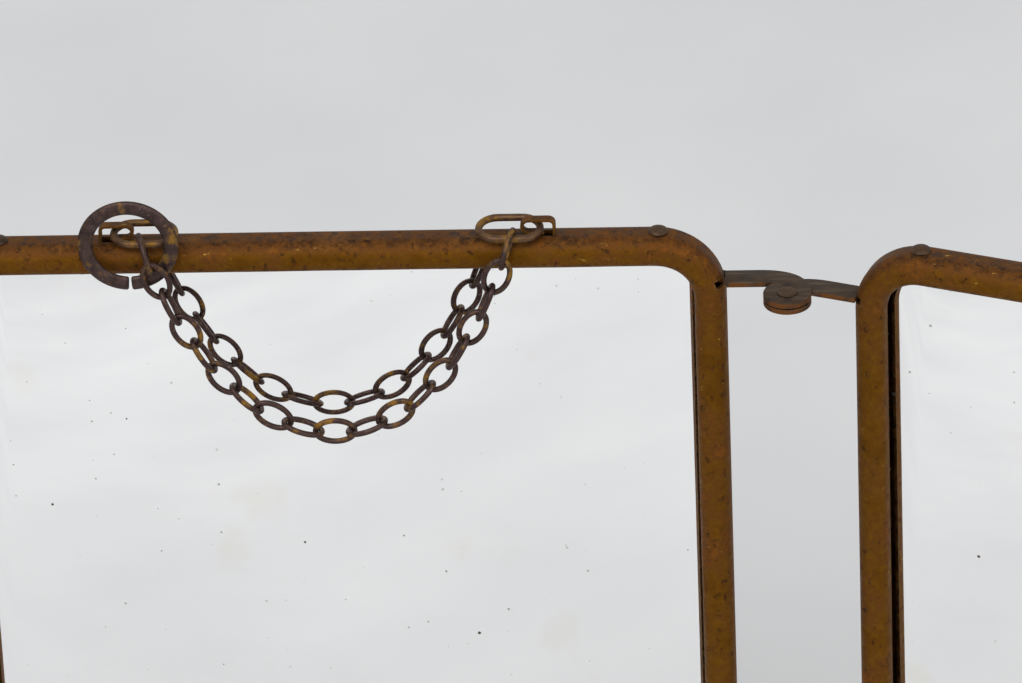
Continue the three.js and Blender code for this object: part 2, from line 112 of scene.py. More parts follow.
class Nodes:
    """A material's node tree, with short calls for the nodes that the finishes share."""

    def __init__(self, name):
        self.material = bpy.data.materials.new(name)
        self.material.use_nodes = True
        self.tree = self.material.node_tree
        self.shader = self.tree.nodes["Principled BSDF"]
        self.place = self.add("ShaderNodeTexCoord")

    def add(self, kind, **settings):
        node = self.tree.nodes.new(kind)
        for key, value in settings.items():
            setattr(node, key, value)
        return node

    def join(self, source, target):
        self.tree.links.new(source, target)

    def noise(self, scale, detail=4.0, rough=0.55, stretch=(1, 1, 1), shift=0.0):
        mapping = self.add("ShaderNodeMapping")
        mapping.inputs["Scale"].default_value = stretch
        mapping.inputs["Location"].default_value = (shift, shift * 0.7, shift * 1.3)
        self.join(self.place.outputs["Object"], mapping.inputs["Vector"])
        texture = self.add("ShaderNodeTexNoise")
        texture.inputs["Scale"].default_value = scale
        texture.inputs["Detail"].default_value = detail
        texture.inputs["Roughness"].default_value = rough
        self.join(mapping.outputs["Vector"], texture.inputs["Vector"])
        return texture.outputs["Fac"]

    def specks(self, scale, size, softness, shift=0.0):
        """Small round spots over an upright pane. Each cell picks its own spot size."""
        parts = self.add("ShaderNodeSeparateXYZ")
        self.join(self.place.outputs["Object"], parts.inputs["Vector"])
        flat = self.add("ShaderNodeCombineXYZ")
        self.join(self.math("ADD", parts.outputs["X"], shift), flat.inputs["X"])
        self.join(self.math("ADD", parts.outputs["Z"], shift * 0.7), flat.inputs["Y"])
        cells = self.add("ShaderNodeTexVoronoi", feature="F1", voronoi_dimensions="2D")
        cells.inputs["Scale"].default_value = scale
        self.join(flat.outputs["Vector"], cells.inputs["Vector"])
        pick = self.add("ShaderNodeSeparateColor")
        self.join(cells.outputs["Color"], pick.inputs["Color"])
        power = self.math("POWER", pick.outputs["Red"], 6.0)
        edge = self.math("MULTIPLY", power, size)
        inside = self.math("SUBTRACT", edge, cells.outputs["Distance"])
        return self.span(inside, 0.0, softness)

    def math(self, operation, first, second, clamp=False):
        node = self.add("ShaderNodeMath", operation=operation, use_clamp=clamp)
        for socket, value in zip(node.inputs, (first, second)):
            if isinstance(value, (int, float)):
                socket.default_value = value
            else:
                self.join(value, socket)
        return node.outputs["Value"]

    def span(self, value, low, high, out_low=0.0, out_high=1.0):
        node = self.add("ShaderNodeMapRange")
        node.inputs["From Min"].default_value = low
        node.inputs["From Max"].default_value = high
        node.inputs["To Min"].default_value = out_low
        node.inputs["To Max"].default_value = out_high
        self.join(value, node.inputs["Value"])
        return node.outputs["Result"]

    def mix(self, amount, first, second):
        node = self.add("ShaderNodeMix", data_type="RGBA")
        self.join(amount, node.inputs["Factor"])
        for socket, value in ((node.inputs["A"], first), (node.inputs["B"], second)):
            if isinstance(value, tuple):
                socket.default_value = (*value, 1.0)
            else:
                self.join(value, socket)
        return node.outputs["Result"]

    def facing(self, axis):
        """How far the surface faces along an axis of the object: 1 along it, 0 against it."""
        dot = self.add("ShaderNodeVectorMath", operation="DOT_PRODUCT")
        dot.inputs[1].default_value = axis
        self.join(self.place.outputs["Normal"], dot.inputs[0])
        return self.span(dot.outputs["Value"], -1.0, 1.0)

    def worn_edge(self, radius):
        """1 on a sharp edge that a hand or a cloth would rub, 0 on a flat."""
        bevel = self.add("ShaderNodeBevel", samples=4)
        bevel.inputs["Radius"].default_value = radius
        geometry = self.add("ShaderNodeNewGeometry")
        dot = self.add("ShaderNodeVectorMath", operation="DOT_PRODUCT")
        self.join(bevel.outputs["Normal"], dot.inputs[0])
        self.join(geometry.outputs["Normal"], dot.inputs[1])
        return self.span(dot.outputs["Value"], 0.97, 0.8)

    def bump(self, height, strength, distance):
        node = self.add("ShaderNodeBump")
        node.inputs["Strength"].default_value = strength
        node.inputs["Distance"].default_value = distance
        self.join(height, node.inputs["Height"])
        self.join(node.outputs["Normal"], self.shader.inputs["Normal"])

    def finish(self, color, roughness, metallic=0.0, specular=0.5):
        self.join(color, self.shader.inputs["Base Color"])
        self.join(roughness, self.shader.inputs["Roughness"])
        self.shader.inputs["Metallic"].default_value = metallic
        self.shader.inputs["Specular IOR Level"].default_value = specular
        return self.material


# ---- Finishes ----


def frame_steel():
    """Yellow-brown lacquered steel, toned by which way it faces as partly painted light and shade: yellow
    where it faces down and forward (painted bounce light off the glass), dark brown where it faces up
    (partly painted shade), redder along the ridge.
    """
    n = Nodes("rusty_frame_steel")
    mottle = n.noise(430, 8, 0.78)
    blotch = n.noise(75, 5, 0.62, shift=3.1)
    grain = n.noise(1500, 3, 0.6, shift=1.7)
    # Painted light and shade: the tone is graded by which way the surface faces, yellow for painted bounce
    # light on faces turned down and forward, dark brown partly for painted shade on faces turned up and
    # back.
    facing_shade_mix = n.math("ADD", n.facing((0, 0.55, 0.83)), n.span(mottle, 0.3, 0.7, -0.10, 0.10))
    lacquer_bounce_lit = n.mix(n.span(blotch, 0.38, 0.62), (0.120, 0.046, 0.0015), (0.215, 0.092, 0.0025))
    ridge = n.mix(n.span(mottle, 0.42, 0.60), (0.058, 0.023, 0.006), (0.185, 0.070, 0.012))
    umber_and_shade = n.mix(n.span(mottle, 0.42, 0.60), (0.050, 0.022, 0.009), (0.200, 0.082, 0.020))
    color = n.mix(n.span(facing_shade_mix, 0.36, 0.56), lacquer_bounce_lit, ridge)
    color = n.mix(n.span(facing_shade_mix, 0.64, 0.88), color, umber_and_shade)
    outward = n.span(n.math("ADD", blotch, n.math("MULTIPLY", mottle, 0.5)), 0.66, 0.86)
    color = n.mix(outward, color, (0.105, 0.038, 0.008))
    rust = n.span(n.math("MULTIPLY", mottle, blotch), 0.285, 0.345)
    color = n.mix(n.math("MULTIPLY", rust, 0.6), color, (0.24, 0.085, 0.010))
    dark = n.span(n.noise(420, 6, 0.72, shift=5.3), 0.57, 0.66)
    color = n.mix(n.math("MULTIPLY", dark, 0.8), color, (0.020, 0.010, 0.006))
    chips = n.noise(620, 4, 0.7, stretch=(0.45, 1, 1), shift=2.2)
    scarce = n.span(n.noise(45, 2, 0.5, shift=6.6), 0.5, 0.62)
    flecks = n.math("MULTIPLY", n.span(chips, 0.655, 0.69), scarce)
    color = n.mix(flecks, color, (0.40, 0.235, 0.045))
    worn = n.math("MULTIPLY", n.worn_edge(0.0009), n.span(mottle, 0.45, 0.6))
    color = n.mix(worn, color, (0.20, 0.13, 0.055))
    height = n.math("ADD", n.math("MULTIPLY", mottle, 0.8), n.math("MULTIPLY", grain, 0.35))
    n.bump(height, 0.8, 0.0003)
    return n.finish(color, n.span(mottle, 0.36, 0.64, 0.44, 0.74), 0.8, specular=0.2)


def strip_steel():
    """Flat strip gone dull grey-brown, with rust bleeding from its edges."""
    n = Nodes("dark_strip_steel")
    mottle = n.noise(300, 6, 0.62, shift=7.0)
    scratches = n.noise(240, 4, 0.6, stretch=(0.25, 2.4, 1), shift=4.4)
    color = n.mix(n.span(mottle, 0.32, 0.68), (0.034, 0.022, 0.014), (0.092, 0.059, 0.038))
    color = n.mix(n.span(scratches, 0.55, 0.72), color, (0.13, 0.094, 0.064))
    edge = n.span(n.facing((0, 0, 1)), 0.92, 0.62)
    rust = n.math("MULTIPLY", edge, n.span(mottle, 0.36, 0.56))
    color = n.mix(rust, color, (0.15, 0.058, 0.016))
    n.bump(n.math("ADD", mottle, scratches), 0.4, 0.0002)
    return n.finish(color, n.span(mottle, 0.3, 0.7, 0.45, 0.7), 0.75, specular=0.2)


def wire_steel(name, body, light, rust_amount):
    """Drawn wire: dark brown with a dull shine, ochre rust in patches."""
    n = Nodes(name)
    mottle = n.noise(420, 5, 0.62, shift=2.6)
    patch = n.noise(120, 4, 0.55, shift=8.2)
    color = n.mix(n.span(mottle, 0.3, 0.7), body, light)
    rust = n.span(n.math("ADD", mottle, patch), 1.16 - rust_amount, 1.34 - rust_amount)
    ochre = n.mix(n.span(patch, 0.4, 0.62), (0.16, 0.074, 0.012), (0.24, 0.125, 0.022))
    color = n.mix(rust, color, ochre)
    glint = n.span(n.noise(900, 3, 0.6, shift=3.3), 0.66, 0.76)
    color = n.mix(glint, color, (0.26, 0.19, 0.17))
    n.bump(mottle, 0.5, 0.00022)
    roughness = n.span(n.math("ADD", mottle, patch), 0.8, 1.25, 0.34, 0.62)
    return n.finish(color, roughness, 0.75, specular=0.25)


def rivet_steel():
    n = Nodes("rivet_steel")
    mottle = n.noise(380, 5, 0.65, shift=6.1)
    color = n.mix(n.span(mottle, 0.34, 0.66), (0.038, 0.024, 0.016), (0.105, 0.060, 0.034))
    n.bump(mottle, 0.5, 0.0002)
    return n.finish(color, n.span(mottle, 0.3, 0.7, 0.42, 0.68), 0.7, specular=0.2)


def silvering():
    """Old mirror silvering: crowds of fine foxing specks, a few coarse ones and a faint stain."""
    n = Nodes("mirror_silvering")
    haze = n.noise(9, 3, 0.5, shift=1.1)
    tint = n.mix(n.span(haze, 0.35, 0.65), (0.915, 0.917, 0.918), (0.885, 0.888, 0.885))
    crowd = n.span(n.noise(16, 3, 0.55, shift=4.9), 0.40, 0.60)
    fine = n.math("MULTIPLY", n.specks(190, 0.085, 0.03, shift=0.4), crowd)
    coarse = n.specks(46, 0.030, 0.01, shift=1.9)
    color = n.mix(n.math("MULTIPLY", fine, 0.7), tint, (0.22, 0.17, 0.09))
    color = n.mix(coarse, color, (0.10, 0.075, 0.05))
    stain = n.math("MULTIPLY", n.span(n.noise(26, 4, 0.6, shift=7.7), 0.60, 0.76), 0.40)
    color = n.mix(stain, color, (0.80, 0.74, 0.60))
    spots = n.math("MAXIMUM", fine, coarse, clamp=True)
    n.bump(n.noise(11, 2, 0.4, shift=2.5), 0.02, 0.0002)
    return n.finish(color, n.span(spots, 0.0, 1.0, 0.022, 0.5), 1.0)


def pulp_card():
    n = Nodes("pulp_card")
    fibre = n.noise(520, 6, 0.7, stretch=(1, 1, 0.35), shift=1.4)
    stain = n.noise(22, 4, 0.55, shift=3.7)
    color = n.mix(n.span(fibre, 0.3, 0.7), (0.26, 0.18, 0.105), (0.36, 0.265, 0.165))
    color = n.mix(n.span(stain, 0.55, 0.75), color, (0.17, 0.11, 0.06))
    n.bump(fibre, 0.4, 0.0002)
    return n.finish(color, n.span(fibre, 0.3, 0.7, 0.86, 0.98))


def tinplate():
    """Back plate: dull tin with long scuffs and rust creeping in from blotches."""
    n = Nodes("tinplate_back")
    scuff = n.noise(60, 5, 0.6, stretch=(0.2, 1, 2.6), shift=5.5)
    blotch = n.noise(19, 6, 0.68, shift=9.2)
    grain = n.noise(700, 3, 0.6, shift=0.9)
    color = n.mix(n.span(scuff, 0.3, 0.7), (0.115, 0.10, 0.085), (0.205, 0.185, 0.16))
    rust = n.span(n.math("ADD", blotch, n.math("MULTIPLY", grain, 0.16)), 0.58, 0.72)
    crust = n.span(n.noise(260, 6, 0.75, shift=4.6), 0.38, 0.62)
    bloom = n.mix(crust, (0.055, 0.024, 0.011), (0.135, 0.060, 0.023))
    color = n.mix(n.math("MULTIPLY", rust, 0.85), color, bloom)
    n.bump(n.math("ADD", scuff, n.math("MULTIPLY", grain, 0.3)), 0.35, 0.0003)
    return n.finish(color, n.span(blotch, 0.4, 0.7, 0.38, 0.72), 0.6)


def plain_floor():
    """A plain pale surface with the faintest unevenness."""
    n = Nodes("pale_floor")
    cloud = n.noise(6, 3, 0.5)
    color = n.mix(n.span(cloud, 0.3, 0.7), (0.64, 0.64, 0.645), (0.70, 0.70, 0.70))
    return n.finish(color, n.span(cloud, 0.3, 0.7, 0.9, 1.0))


FRAME_STEEL = frame_steel()
STRIP_STEEL = strip_steel()
CHAIN_STEEL = wire_steel("chain_wire_steel", (0.040, 0.023, 0.021), (0.088, 0.053, 0.043), 0.10)
RING_STEEL = wire_steel("ring_wire_steel", (0.030, 0.018, 0.017), (0.090, 0.057, 0.048), 0.05)
LOOP_STEEL = wire_steel("loop_wire_steel", (0.075, 0.040, 0.024), (0.150, 0.082, 0.040), 0.14)
RIVET_STEEL = rivet_steel()
SILVERING = silvering()
PULP_CARD = pulp_card()
TINPLATE = tinplate()


# ---- Mesh helpers ----


def make(name, points, faces, material):
    """A smooth-shaded object from points in millimetres."""
    mesh = bpy.data.meshes.new(name)
    mesh.from_pydata([Vector(p) * MM for p in points], [], faces)
    mesh.materials.append(material)
    built = bpy.data.objects.new(name, mesh)
    bpy.context.scene.collection.objects.link(built)
    shade(built)
    return built


def shade(built):
    built.data.shade_smooth()
    built.data.set_sharp_from_angle(angle=SHARP_ANGLE)


def sweep(rings, closed):
    """Points and faces of a section carried through rings of points, closed on itself or capped."""
    count = len(rings[0])
    points = [p for ring in rings for p in ring]
    faces = []
    for i in range(len(rings) if closed else len(rings) - 1):
        here, ahead = i * count, ((i + 1) % len(rings)) * count
        for j in range(count):
            k = (j + 1) % count
            faces.append((here + j, here + k, ahead + k, ahead + j))
    if not closed:
        last = (len(rings) - 1) * count
        faces.append(tuple(reversed(range(count))))
        faces.append(tuple(range(last, last + count)))
    return points, faces


def wire_rings(path, across, in_plane, out_of_plane, sides, closed):
    """Rings of an elliptical section along a path in one plane, with `across` as the plane's normal."""
    rings = []
    for i, point in enumerate(path):
        before = path[i - 1] if closed or i else point
        after = path[(i + 1) % len(path)] if closed or i + 1 < len(path) else point
        along = (after - before).normalized()
        side = across.cross(along)
        rings.append([
            point + side * (in_plane * math.cos(a)) + across * (out_of_plane * math.sin(a))
            for a in (2 * math.pi * (j + 0.5) / sides for j in range(sides))
        ])
    return rings


def place(built, matrix):
    """Moves a piece's mesh, so that its object stays at the origin like a CAD node."""
    built.data.transform(matrix)
    if matrix.determinant() < 0:
        built.data.flip_normals()
    built.data.update()
    return built


def settle(built, body, node):
    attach(built, body)
    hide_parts(node)
    return built


def cut(target, cutters):
    """Cuts closed meshes out of a piece, and removes them."""
    bpy.context.view_layer.update()
    for cutter in cutters:
        modifier = target.modifiers.new("cut", "BOOLEAN")
        modifier.operation = "DIFFERENCE"
        modifier.solver = "EXACT"
        modifier.object = cutter
    graph = bpy.context.evaluated_depsgraph_get()
    made = bpy.data.meshes.new_from_object(target.evaluated_get(graph))
    target.modifiers.clear()
    target.data = made
    for cutter in cutters:
        bpy.data.objects.remove(cutter)
    shade(target)
    return target


def soften(built, width, segments=2):
    """Rounds the sharp edges of a piece by `width` millimetres."""
    modifier = built.modifiers.new("soften", "BEVEL")
    modifier.width = width * MM
    modifier.segments = segments
    modifier.limit_method = "ANGLE"
    modifier.angle_limit = SHARP_ANGLE
    bpy.context.view_layer.update()
    graph = bpy.context.evaluated_depsgraph_get()
    made = bpy.data.meshes.new_from_object(built.evaluated_get(graph))
    built.modifiers.clear()
    built.data = made
    shade(built)
    return built


def face_out(built):
    """Turns a piece's faces outwards."""
    whole = bmesh.new()
    whole.from_mesh(built.data)
    bmesh.ops.recalc_face_normals(whole, faces=whole.faces)
    whole.to_mesh(built.data)
    whole.free()
    return built


def prism(name, outline, low, high, material, upright):
    """An outline extruded: along z from x and v, or along v from x and z."""
    count = len(outline)
    if upright:
        levels = [[(x, -v, z) for x, v in outline] for z in (low, high)]
    else:
        levels = [[(x, -v, z) for x, z in outline] for v in (high, low)]
    points = levels[0] + levels[1]
    faces = [(j, (j + 1) % count, count + (j + 1) % count, count + j) for j in range(count)]
    faces.append(tuple(reversed(range(count))))
    faces.append(tuple(range(count, 2 * count)))
    return face_out(make(name, points, faces, material))


def block(x0, x1, v0, v1, z0, z1):
    return prism("cutter", [(x0, v0), (x1, v0), (x1, v1), (x0, v1)], z0, z1, STRIP_STEEL, True)


def rod(x, v, radius, z0, z1, sides=32):
    outline = [(x + radius * math.cos(a), v + radius * math.sin(a))
               for a in (2 * math.pi * j / sides for j in range(sides))]
    return prism("cutter", outline, z0, z1, STRIP_STEEL, True)


def turned(name, profile, sides, material):
    """A profile of (radius, z) turned about z; its first and last points are on the axis."""
    points = [(0, 0, profile[0][1]), (0, 0, profile[-1][1])]
    inner = profile[1:-1]
    for radius, z in inner:
        for j in range(sides):
            a = 2 * math.pi * j / sides
            points.append((radius * math.cos(a), radius * math.sin(a), z))
    faces = []
    for j in range(sides):
        k = (j + 1) % sides
        faces.append((0, 2 + k, 2 + j))
        for i in range(len(inner) - 1):
            here, ahead = 2 + i * sides, 2 + (i + 1) * sides
            faces.append((here + j, here + k, ahead + k, ahead + j))
        last = 2 + (len(inner) - 1) * sides
        faces.append((1, last + j, last + k))
    return make(name, points, faces, material)


def arc(x, y, radius, start, end, steps):
    return [(x + radius * math.cos(a * DEG), y + radius * math.sin(a * DEG))
            for a in (start + (end - start) * i / steps for i in range(steps + 1))]


# ---- Panels ----


def channel_section():
    """The frame's section in (w, v): bead by the glass, crown, rounded back and back lip."""
    bead_w, bead_v = -RAIL_WIDTH + BEAD_ROUND, RAIL_FRONT - BEAD_ROUND
    front_v, back_v = RAIL_FRONT - RAIL_ROUND, -RAIL_BACK + RAIL_ROUND
    inside = RAIL_ROUND - WALL
    points = [(-RAIL_WIDTH, FIT)]
    points += arc(bead_w, bead_v, BEAD_ROUND, 180, 90, 8)
    points += arc(-RAIL_ROUND, front_v, RAIL_ROUND, 90, 0, 10)
    points += arc(-RAIL_ROUND, back_v, RAIL_ROUND, 0, -90, 8)
    points += [(-LIP_WIDTH, -RAIL_BACK), (-LIP_WIDTH, -RAIL_BACK + WALL)]
    points += arc(-RAIL_ROUND, back_v, inside, -90, 0, 6)
    points += arc(-RAIL_ROUND, front_v, inside, 0, 90, 6)
    points += arc(bead_w, bead_v, BEAD_ROUND - WALL, 90, 180, 5)
    points += [(-RAIL_WIDTH + WALL, FIT)]
    return points[::-1]


def frame_stations():
    """Points on the outside of a panel with outward directions, clockwise from the butt joint."""
    half = PANEL_WIDTH / 2 - CORNER_RADIUS
    top = PANEL_HEIGHT - CORNER_RADIUS
    corners = [(-half, CORNER_RADIUS, 270), (-half, top, 180), (half, top, 90), (half, CORNER_RADIUS, 0)]
    bare = [(JOINT_X - FIT / 2, 0, 270)]
    for x, z, start in corners:
        for i in range(17):
            angle = start - 90 * i / 16
            bare.append((x + CORNER_RADIUS * math.cos(angle * DEG),
                         z + CORNER_RADIUS * math.sin(angle * DEG), angle))
    bare.append((JOINT_X + FIT / 2, 0, -90))
    return fill_straights(bare)


def fill_straights(stations):
    """Adds stations along the long rails, so that they can carry small dents."""
    step = 3.0
    full = [stations[0]]
    for (x0, z0, a0), (x1, z1, a1) in zip(stations, stations[1:]):
        count = max(1, round(math.hypot(x1 - x0, z1 - z0) / step))
        if abs((a1 - a0 + 180) % 360 - 180) > 1:
            count = 1
        for i in range(1, count + 1):
            t = i / count
            full.append((x0 + (x1 - x0) * t, z0 + (z1 - z0) * t, a1))
    return full


def channel(name, seed):
    """One frame bent from strip, with the slight waviness of hand rolling."""
    section = channel_section()
    rings = []
    for x, z, angle in frame_stations():
        out_x, out_z = math.cos(angle * DEG), math.sin(angle * DEG)
        ring = []
        for w, v in section:
            wave = noise.noise(Vector((x * 0.06 + seed, z * 0.06, v * 0.25)))
            push = DENT * wave * min(1.0, max(0.0, (v + 1.5) / 3))
            ring.append(Vector((x + w * out_x, -(v + push), z + w * out_z)))
        rings.append(ring)
    points, faces = sweep(rings, closed=False)
    return make(name, points, faces, FRAME_STEEL)


def arm_cutters(side, end, drop):
    """The slot in a side wall and the rivet hole in the top or bottom wall."""
    wall_x = PANEL_WIDTH / 2
    depth, past = 3.6, 1
    reach = PLATE / 2 + FIT
    back, front = STRIP_V - STRIP_WIDTH / 2 - FIT, STRIP_V + STRIP_WIDTH / 2 + FIT
    slot = block(wall_x - depth, wall_x + past, back, front, -drop - reach, -drop + reach)
    hole = rod(wall_x - RIVET_INSET, CROWN_V, RIVET_RADIUS + RIVET_SLACK, -2 * WALL, WALL)
    flip = Matrix.Diagonal((side, 1, end, 1))
    lift = Matrix.Translation((0, 0, PANEL_HEIGHT * MM if end > 0 else 0))
    return [place(g, lift @ flip) for g in (slot, hole)]


def tongue(side):
    """A strip lanced from the crown and curled back into an eye."""
    half, top, low, curl_x = 0.4, 4.15, 0.55, -6.4
    radius, middle = (top - low) / 2, (top + low) / 2
    line = [(0, -0.6), (0, top - 1.8)] + arc(-1.4, top - 1.4, 1.4, 0, 90, 8)
    line += arc(curl_x, middle, radius, 90, 270, 16) + [(-4.6, low), (-2.6, low)]
    left, right = [], []
    for i, (x, z) in enumerate(line):
        x0, z0 = line[max(i - 1, 0)]
        x1, z1 = line[min(i + 1, len(line) - 1)]
        length = math.hypot(x1 - x0, z1 - z0)
        nx, nz = -(z1 - z0) / length * half, (x1 - x0) / length * half
        left.append((x + nx, z + nz))
        right.append((x - nx, z - nz))
    built = prism("tongue", left + right[::-1], CROWN_V - 1.2, CROWN_V + 1.2, FRAME_STEEL, False)
    root = LOOP_APEX_X + 3.5
    place(built, Matrix.Translation((root * MM, 0, 0)))
    place(built, Matrix.Translation((0, 0, PANEL_HEIGHT * MM)) @ Matrix.Diagonal((side, 1, 1, 1)))
    return soften(built, 0.12, 1)


def join(target, others):
    """Joins meshes into one piece."""
    whole = bmesh.new()
    whole.from_mesh(target.data)
    for other in others:
        whole.from_mesh(other.data)
        bpy.data.objects.remove(other)
    whole.to_mesh(target.data)
    whole.free()
    shade(target)
    return target


def centre_frame():
    cutters = [c for side in (-1, 1) for end in (-1, 1) for c in arm_cutters(side, end, HINGE_DROP)]
    root = LOOP_APEX_X + 3.2
    for side in (-1, 1):
        slot = block(root - 5.4, root + 0.4, CROWN_V - 1.45, CROWN_V + 1.45, -2 * WALL, WALL)
        lift = Matrix.Translation((0, 0, PANEL_HEIGHT * MM))
        cutters.append(place(slot, lift @ Matrix.Diagonal((side, 1, 1, 1))))
    built = cut(channel("centre_frame_steel", 0.0), cutters)
    return join(built, [tongue(-1), tongue(1)])


def wing_frame(wing, hinge_side, seed):
    cutters = [c for end in (-1, 1) for c in arm_cutters(hinge_side, end, WING_PLATE_DROP)]
    return cut(channel(wing + "_frame_steel", seed), cutters)


def pane(name, front, thickness, material, edge):
    """A rounded sheet with ground edges."""
    half = PANEL_WIDTH / 2 - GLASS_INSET
    low, high = GLASS_INSET, PANEL_HEIGHT - GLASS_INSET
    r = CORNER_RADIUS - GLASS_INSET
    outline = arc(half - r, low + r, r, -90, 0, 10) + arc(half - r, high - r, r, 0, 90, 10)
    outline += arc(-half + r, high - r, r, 90, 180, 10) + arc(-half + r, low + r, r, 180, 270, 10)
    built = prism(name, outline, front - thickness, front, material, False)
    return soften(built, edge)


def mirror_glass(name):
    """The mirror, with its face where the silvering is seen through the glass."""
    return pane(name, -SILVER_DEPTH, GLASS_THICKNESS - SILVER_DEPTH, SILVERING, 0.25)


def back_plate(name):
    """Tin sheet with a stamped stiffening rib just inside the lip."""
    front = CARD_FRONT - CARD_THICKNESS - FIT
    back = front - BACK_THICKNESS
    rib, step, rib_start, rib_end = 0.35, 1.6, 14, 17
    rims = [(0, front), (0, back), (rib_start, back), (rib_start + step, back - rib),
            (rib_end, back - rib), (rib_end + step, back)]
    loops = []
    for inset, v in rims:
        half = PANEL_WIDTH / 2 - GLASS_INSET - inset
        low, high = GLASS_INSET + inset, PANEL_HEIGHT - GLASS_INSET - inset
        r = max(CORNER_RADIUS - GLASS_INSET - inset * 0.5, 4)
        outline = arc(half - r, low + r, r, -90, 0, 8) + arc(half - r, high - r, r, 0, 90, 8)
        outline += arc(-half + r, high - r, r, 90, 180, 8) + arc(-half + r, low + r, r, 180, 270, 8)
        loops.append([Vector((x, -v, z)) for x, z in outline])
    points, faces = sweep(loops, closed=False)
    built = make(name, points, faces, TINPLATE)
    return face_out(built)


def joint_sleeve(name):
    """The little folded liner behind the butt joint."""
    floor = WALL + FIT
    outline = [(-2.2, floor), (2.2, floor), (2.2, floor + 1), (1.5, floor + 1), (1.5, floor + 0.6),
               (-1.5, floor + 0.6), (-1.5, floor + 1), (-2.2, floor + 1)]
    rings = [[Vector((JOINT_X + x, -(CROWN_V + v), z)) for v, z in outline] for x in (-12, -4, 4, 12)]
    points, faces = sweep(rings, closed=False)
    return face_out(make(name, points, faces, STRIP_STEEL))


def wing_place(side):
    """Where a wing's panel stands at rest, from its own panel frame to the row frame."""
    pivot_v = PIVOT_V_RIGHT if side > 0 else PIVOT_V_LEFT
    pivot = Matrix.Translation((side * PIVOT_X * MM, -pivot_v * MM, 0))
    fold = Matrix.Rotation(-side * WING_FOLD * DEG, 4, "Z")
    panel = Matrix.Translation((side * (HINGE_SPAN + PANEL_WIDTH) / 2 * MM, pivot_v * MM, 0))
    return pivot @ fold, pivot @ fold @ panel


def panel_pieces(panel, body, frame_piece, where):
    """Puts a panel's five pieces in place of their CAD nodes."""
    pieces = [
        (frame_piece, "frame", "rusty_frame_steel"),
        (mirror_glass(panel + "_glass"), "mirror_glass", "mirror_silvering"),
        (pane(panel + "_card", CARD_FRONT, CARD_THICKNESS, PULP_CARD, 0.1), "backing_card", "pulp_card"),
        (back_plate(panel + "_tin_back"), "back_plate", "tinplate_back"),
        (joint_sleeve(panel + "_sleeve"), "joint_sleeve", "dark_strip_steel"),
    ]
    for built, node, slot in pieces:
        place(built, where)
        settle(built, body, f"{panel}_{node}")


panel_pieces("centre", "centre", centre_frame(), Matrix.Identity(4))
for side, wing in ((1, "right_wing"), (-1, "left_wing")):
    panel_pieces(wing, wing, wing_frame(wing, -side, 31.7 * side), wing_place(side)[1])


# ---- Hinges ----


def cubic(a, b, c, d, steps):
    points = []
    for i in range(1, steps + 1):
        t = i / steps
        s = 1 - t
        points.append(tuple(s ** 3 * a[k] + 3 * s * s * t * b[k] + 3 * s * t * t * c[k] + t ** 3 * d[k]
                            for k in (0, 1)))
    return points


def strip_outline(offset, end_x):
    """The flat strip from its eye at the origin to the frame, in x and v."""
    front, back = offset + STRIP_WIDTH / 2, offset - STRIP_WIDTH / 2
    outline = [(end_x, front)]
    if -front < EYE_RADIUS:
        start = math.degrees(math.asin(front / EYE_RADIUS))
        outline += arc(0, 0, EYE_RADIUS, start, 180, 40)
    else:
        near = (EYE_RADIUS + 3, front)
        outline.append(near)
        bend = (EYE_RADIUS, front)
        outline += cubic(near, bend, bend, (EYE_RADIUS, 0), 12)
        outline += arc(0, 0, EYE_RADIUS, 0, 180, 40)[1:]
    tip = outline[-1]
    outline += cubic(tip, (-EYE_RADIUS, 0.6 * back), (-0.3 * EYE_RADIUS, back), (EYE_RADIUS + 1, back), 20)
    outline.append((end_x, back))
    return outline


def tail_outline(level):
    """The arm's tail: a band that follows the frame's corner inside the channel, in x and z."""
    outer = CORNER_RADIUS - WALL - 2 * FIT
    inner = outer - PLATE
    start = math.degrees(math.asin(level / outer))
    foot, end_x = level - PLATE / 2, -3.5
    outline = [(inner * math.cos(start * DEG), foot), (outer * math.cos(start * DEG), foot)]
    outline += arc(0, 0, outer, start, 90, 16) + [(end_x, outer), (end_x, inner)]
    return outline + arc(0, 0, inner, 90, start, 16)


def hinge_arm(name, pivot_v, drop):
    """One arm: eye at the origin, frame towards +x, plate's middle at z = 0."""
    side = HINGE_SPAN / 2
    level = CORNER_RADIUS - drop
    offset, tail_v = STRIP_V - pivot_v, CROWN_V - pivot_v
    strip_end, bridge_start, bridge_end = side + 0.7, side + 0.3, side + 3.4
    tail_back, tail_front = tail_v - TAIL_WIDTH / 2, tail_v + TAIL_WIDTH / 2
    strip = prism(name, strip_outline(offset, strip_end), -PLATE / 2, PLATE / 2, STRIP_STEEL, True)
    cut(strip, [rod(0, 0, PIVOT_HOLE_RADIUS, -PLATE, PLATE)])
    soften(strip, 0.14)
    bridge = block(bridge_start, bridge_end, tail_back, tail_front, -PLATE / 2, PLATE / 2)
    tail = prism("tail", tail_outline(level), tail_back, tail_front, STRIP_STEEL, False)
    corner = Matrix.Translation(((side + CORNER_RADIUS) * MM, 0, -level * MM))
    place(tail, corner @ Matrix.Diagonal((-1, 1, 1, 1)))
    cut(tail, [rod(side + RIVET_INSET, tail_v, RIVET_RADIUS + RIVET_SLACK, 5, 20)])
    return join(strip, [bridge, tail])


